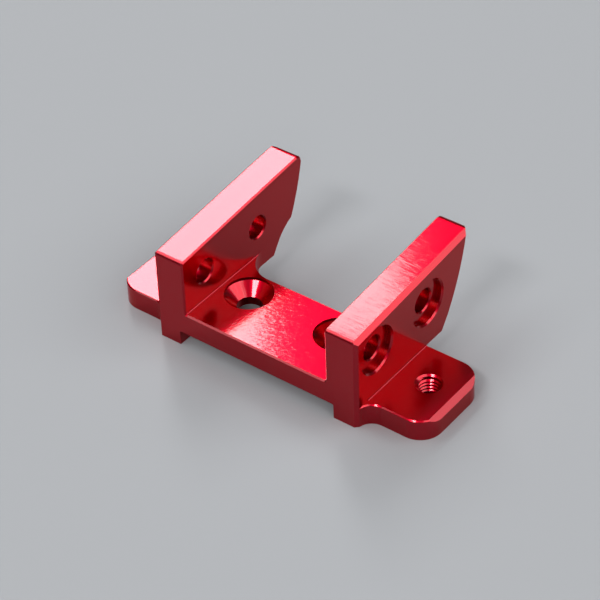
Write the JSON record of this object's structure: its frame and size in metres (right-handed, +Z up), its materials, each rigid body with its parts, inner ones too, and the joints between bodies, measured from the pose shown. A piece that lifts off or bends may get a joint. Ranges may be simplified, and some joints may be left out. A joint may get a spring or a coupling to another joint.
{
  "type": "mounting bracket",
  "caption": "Red anodised machined aluminium bracket with two swept cheeks on a countersunk bridge and a tapped ear on each side.",
  "frame": {"origin": "middle of the seating face under the bounding box: half-way between the ear tips, half-way from front to back", "axes": "+X along the row of ears, +Y from the flat front towards the swept back, +Z up from the seating face"},
  "size_m": [0.0468, 0.0238, 0.0149],
  "materials": {
    "anodised": "gloss red anodising over milled aluminium"
  },
  "bodies": {
    "root": {"bracket": "anodised"}
  },
  "joints": []
}
